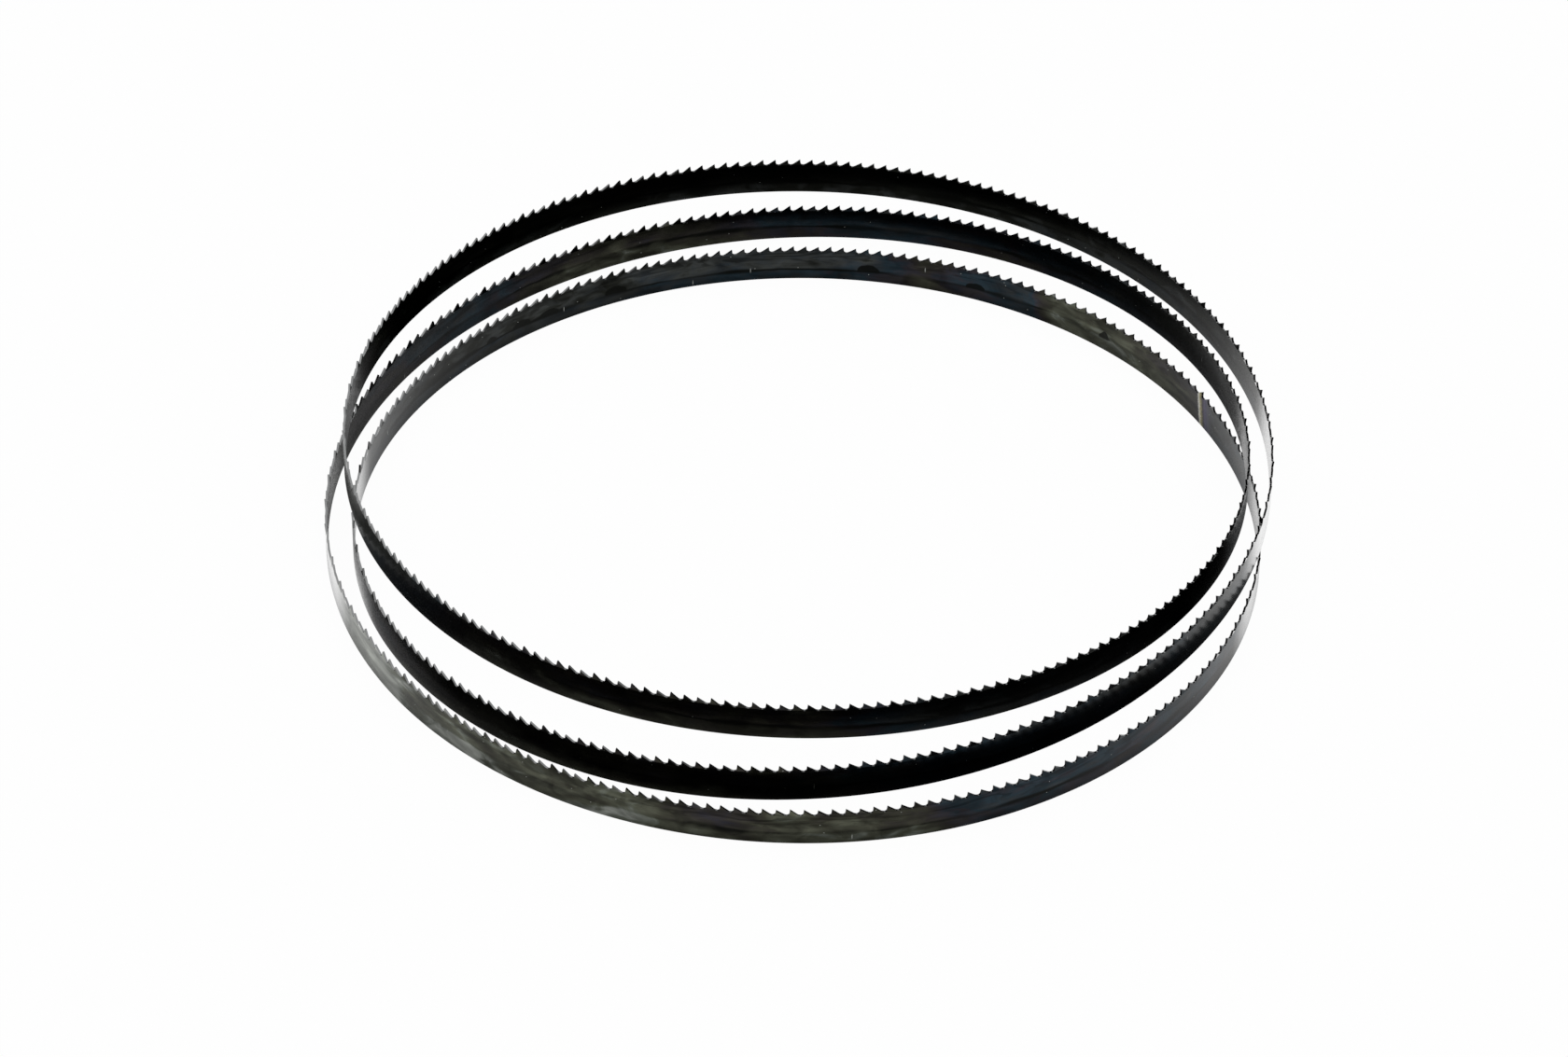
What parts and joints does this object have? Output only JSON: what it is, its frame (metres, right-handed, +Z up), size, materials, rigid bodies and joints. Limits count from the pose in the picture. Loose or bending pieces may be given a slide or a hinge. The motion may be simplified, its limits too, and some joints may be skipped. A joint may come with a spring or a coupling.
{
  "type": "band saw blade",
  "caption": "Endless toothed steel band for a band saw, coiled into turns and lying on its plain back edge.",
  "frame": {"origin": "on the resting plane, under the middle of the coil's bounding box", "axes": "+Z up, the way the teeth point; +Y to the back of the coil and +X to its right, as the picture is taken from the front"},
  "size_m": [0.3052, 0.325, 0.0309],
  "materials": {
    "blued_spring_steel": "black heat-treatment oxide with rolling lines, semi-gloss, with bright ground teeth"
  },
  "bodies": {
    "root": {"blade": "blued_spring_steel"}
  },
  "joints": []
}
